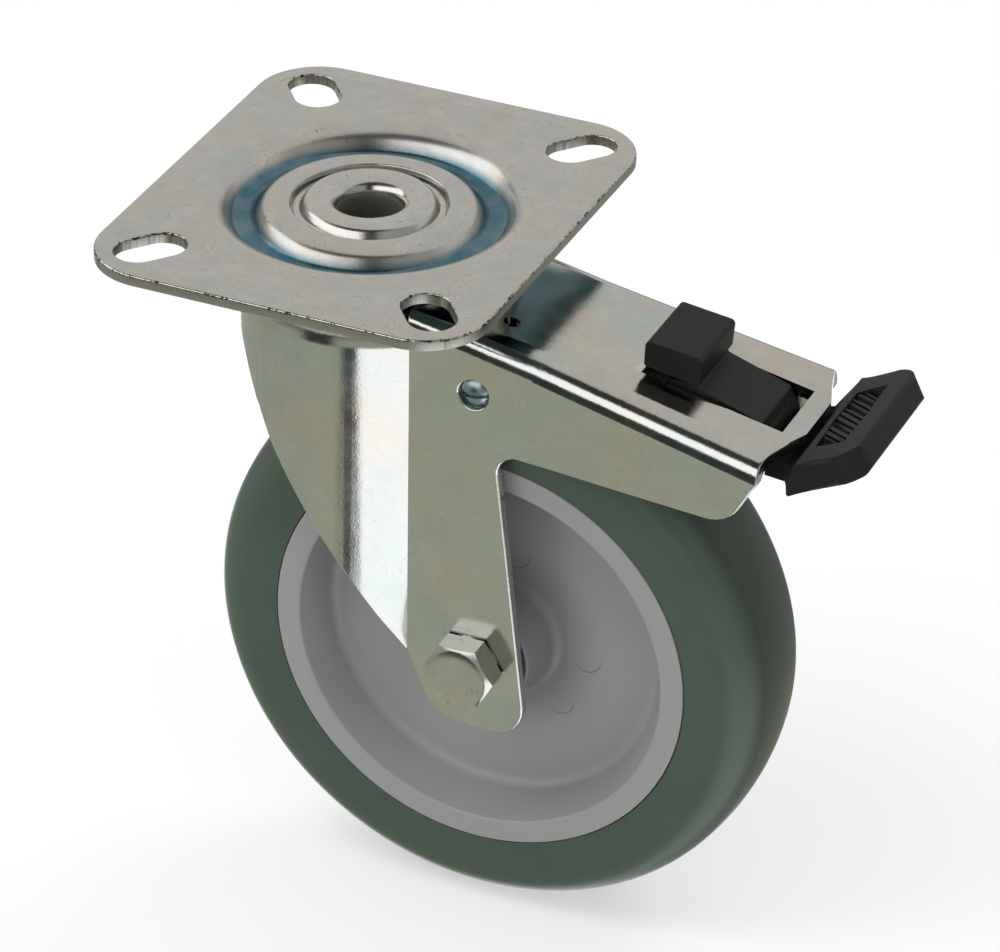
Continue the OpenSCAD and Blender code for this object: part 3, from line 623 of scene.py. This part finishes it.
half = rounded([(10.1, 16.2, 0), (11.9, 16.2, 0.6), (13.5, 5.5, 2.5), (37.0, 5.5, 3), (41.0, 15.3, 0.8),
                (46, 15.3, 0.3), (46, 10.8, 0)], 8)
profile = np.concatenate([half, [(44, 8)], [(44, -8)], half[::-1] * (1, -1)])
wheel_steps = 256
p, f = turned(profile, wheel_steps, axle, "y")
wheel = piece("wheel_centre_moulded", p, f.tolist(), centre_plastic)
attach(wheel, "wheel")
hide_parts("wheel_centre")

# Tyre. Soft thermoplastic rubber moulded round the centre, with a rounded tread and large
# round shoulders. A dim satin, green grey on the sides, and the tread is painted darker as shade.
tyre_rubber = moulded("thermoplastic_rubber", "#3B483D", "#3F4C41", 0.36, 0.6, 0.02)
tree = tyre_rubber.node_tree
tree.nodes["Principled BSDF"].inputs["Specular IOR Level"].default_value = 0.4
local = add(tree, "SeparateXYZ", {"Vector": add(tree, "TexCoord").outputs["Object"]}).outputs
wide = add(tree, "Math", {0: local["Y"]}, operation="ABSOLUTE").outputs[0]
# Painted shade: the tread, within 8.5 to 12.5 mm of the middle, is painted a darker green grey.
filmed(tyre_rubber, "#2A342D",
       add(tree, "MapRange", {"Value": wide}, From_Min=0.0125, From_Max=0.0085).outputs["Result"])
tyre_r, crown_r, shoulder_r, tyre_half = 62.5, 41.8, 8.8, 15.1
inner_r = crown_r - shoulder_r
lean = math.asin((tyre_half - shoulder_r) / inner_r)
a = np.linspace(0, lean, 14)
crown = np.stack([tyre_r - crown_r + crown_r * np.cos(a), crown_r * np.sin(a)], 1)
a = np.linspace(lean, math.pi / 2, 20)[1:]
shoulder = np.stack([tyre_r - crown_r + inner_r * math.cos(lean) + shoulder_r * np.cos(a),
                     inner_r * math.sin(lean) + shoulder_r * np.sin(a)], 1)
flank = rounded([(*shoulder[-1], 0), (46.2, tyre_half, 0.2), (46.2, 13, 0)], 4)[1:]
half = np.concatenate([crown, shoulder, flank])
profile = np.concatenate([half[::-1], half[1:] * (1, -1)])
p, f = turned(profile, wheel_steps, axle, "y")
tyre = piece("tyre_moulded", p, f.tolist(), tyre_rubber)
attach(tyre, "wheel")
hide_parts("tyre")


# Axle. A hexagon bolt through both legs, a plain washer and a nut, with a steel sleeve,
# rollers and black flanged bushes inside the hub. Bolt and nut are cold forged and barrel
# plated in zinc, which leaves small patches and a gloss a little duller than the fork's.
def hexagon_head(across, height, washer_r, seat, count=144):
    """Hexagon: radius (across / 2) / cos(angle from the middle of the flat). A 26 degree
    cone cuts its corners on top, and it stands 0.45 mm off the leg on a round washer face.
    It is turned by 1 degree, as it was tightened."""
    a = np.arange(count) * 2 * math.pi / count
    hexagon = across / 2 / np.cos(a % (math.pi / 3) - math.pi / 6)
    face = np.full(count, across / 2 - 0.35)
    fall = (hexagon - face) * math.tan(math.radians(26))
    level = np.ones(count)
    r = np.stack([face * 0, face * 0.6, face - 0.25, face, hexagon, hexagon, hexagon - 0.3,
                  level * washer_r, level * washer_r])
    h = np.stack([level * height, level * height, level * height, level * height - 0.08,
                  height - 0.08 - fall, level * 0.65, level * 0.45, level * 0.45, level * 0])
    a = a + math.radians(1)
    rows = np.stack([axle[0] + r * np.cos(a), seat - h, axle[2] + r * np.sin(a)], 2)
    return rows.reshape(-1, 3), grid_faces(len(rows), count)


def clad(node, material):
    """Gives a carried over solid its finish."""
    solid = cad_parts[node]
    solid.data.materials.clear()
    solid.data.materials.append(material)


bolt_zinc = zinc_steel("bright_zinc_on_bolt", "#C4C3BC", "#C9C2B6", "#BCBFB8", 0.16, blotch=6.0)
bolt_low, bolt_high = (c * 1000 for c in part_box("axle_bolt"))
solid_head_h, thread_length, shank_r, thread_depth, pitch = 5.3, 8.3, 3.95, 0.32, 1.25
seat = bolt_low.y + solid_head_h
thread_end = bolt_high.y - thread_length
along = np.arange(0, 7.5, pitch / 4)
ridge = thread_depth * (0.5 - 0.5 * np.cos(2 * math.pi * along / pitch))
thread = np.stack([shank_r - ridge, along + thread_end], 1)
shank = np.concatenate([[(shank_r, seat), (shank_r, thread_end)], thread,
                        [(3.3, bolt_high.y), (0, bolt_high.y)]])
head_p, head_f = hexagon_head(14.0, 6.3, 6.8, seat)
shank_p, shank_f = turned(shank, 144, axle, "y")
bolt = piece("axle_bolt_forged", np.concatenate([head_p, shank_p]),
             head_f.tolist() + (shank_f + len(head_p)).tolist(), bolt_zinc, sharp=20)
worn = bolt.modifiers.new("worn_edges", "BEVEL")
worn.width = 0.00016
worn.segments = 2
worn.limit_method = "ANGLE"
worn.angle_limit = math.radians(24)
nut = softened("axle_nut_forged", "axle_nut", bolt_zinc, 0.25, 2, 24)
for made, node in ((bolt, "axle_bolt"), (nut, "axle_nut")):
    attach(made, "fork")
    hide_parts(node)
for node in ("axle_washer", "axle_sleeve", "pedal_pin"):
    clad(node, bolt_zinc)

# Pedal. Glass filled black nylon in one moulding: a release block, a stem through the
# fork's slot and a foot tread with a ribbed inset. Its spark eroded texture makes the
# gloss wide and weak. The edges round the stem stay sharp.
pedal_nylon = moulded("textured_black_nylon", "#0F110E", "#141612", 0.5, 0.35, 0.05, 12.0)
pedal_nylon.node_tree.nodes["Principled BSDF"].inputs["Specular IOR Level"].default_value = 0.3
stem_edges = (((91, -12.5, -60), (104, 12.5, 20)),)
pedal = softened("foot_pedal_moulded", "foot_pedal", pedal_nylon, 1.15, 5, 30, 2.2, stem_edges)
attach(pedal, "pedal")
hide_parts("foot_pedal")

# Swivel head and brake. Hardened races and a toothed lock disc, which are grey and dull
# from the furnace, polished balls and rollers that mirror the room clearly, and the sheet
# lever with its rubber shoe that the pedal pushes on the tyre. The lugs are zinc like the
# fork, painted dark as shade inside the slot.
hard_steel = zinc_steel("hardened_steel", "#8C8A85", "#85837D", "#93908A", 0.34, blotch=8.0)
ball_steel = zinc_steel("polished_ball_steel", "#C9C9CC", "#C9C9CC", "#C2C2C6", 0.12, blotch=5.0)
# Painted shade: the lugs, zinc like the fork, are painted a dark grey because they lie in shade.
lug_shade_steel = zinc_steel("lug_steel_painted_shade", "#45443F", "#4A4842", "#403F3B", 0.4, blotch=8.0)
for nodes, finish in ((("upper_race", "lower_race", "lock_disc"), hard_steel),
                      (("upper_balls", "lower_balls", "hub_rollers"), ball_steel),
                      (("brake_lever",), fork_zinc),
                      (("pedal_lug_left", "pedal_lug_right"), lug_shade_steel)):
    for node in nodes:
        clad(node, finish)


# Rivets. Two steel pins through the legs, on which the brake lever turns, each with a
# domed and slotted end. Blue passivated zinc: cooler and softer than the fork's.
def rivet(side, material, count=96):
    """The pin under the leg, then a domed end whose height over the rim is
    dome (1 - (r / dome_r)^2.4), less a slot that runs across it with sloped sides."""
    dome, dome_r, rim_r, pin_r, rim_low, leg_face = 1.1, 3.2, 3.25, 2, 1.0, 2.2
    slot_depth, slot_half, slot_side, slot_off, slot_lean = 0.75, 0.55, 0.18, 0.2, math.radians(8)
    low, high = (c * 1000 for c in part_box("lever_rivet_" + side))
    sign = -1 if low.y < 0 else 1
    inner, outer = (low.y, high.y) if sign > 0 else (high.y, low.y)
    x0, z0 = (low.x + high.x) / 2, (low.z + high.z) / 2
    a = np.arange(count) * 2 * math.pi / count
    r = np.concatenate([np.linspace(0, dome_r, 30)[1:], [rim_r]])[:, None]
    across = r * np.sin(a + sign * slot_lean)
    slot = slot_depth * np.clip((slot_half - np.abs(across + slot_off)) / slot_side, 0, 1)
    h = dome * (1 - np.clip(r / dome_r, 0, 1) ** 2.4) - slot * (r < dome_r - 0.1)
    top = np.stack([x0 + r * np.cos(a), outer - sign * 0.5 + sign * h, z0 + r * np.sin(a)], 2)
    r, y = np.array([(rim_r, rim_low), (rim_r, leg_face), (pin_r, leg_face), (pin_r, 0)]).T[:, :, None]
    y = np.where(y > 0, outer - sign * y, inner)
    under = np.stack([x0 + r * np.cos(a), np.broadcast_to(y, (len(y), count)), z0 + r * np.sin(a)], 2)
    rows = np.concatenate([top, under])
    faces = grid_faces(len(rows), count).tolist() + [list(range(count))]
    made = piece("lever_rivet_end_" + side, rows.reshape(-1, 3), faces, material)
    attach(made, "fork")
    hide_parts("lever_rivet_" + side)


rivet_zinc = zinc_steel("blue_zinc_on_rivets", "#8FA3AA", "#86A0AC", "#9CA6A4", 0.28, blotch=4.0)
rivet("left", rivet_zinc)
rivet("right", rivet_zinc)

# Bushes and shoe. The hub's flanged bushes are plain black nylon, smooth and waxy, and the
# brake shoe is hard rubber, almost without gloss.
bush_nylon = moulded("plain_black_nylon", "#232323", "#282828", 0.45, 0.4, 0.02)
shoe_rubber = moulded("matt_shoe_rubber", "#1E1E1E", "#242424", 0.7, 0.5, 0.05)
clad("hub_bush_left", bush_nylon)
clad("hub_bush_right", bush_nylon)
clad("brake_shoe", shoe_rubber)
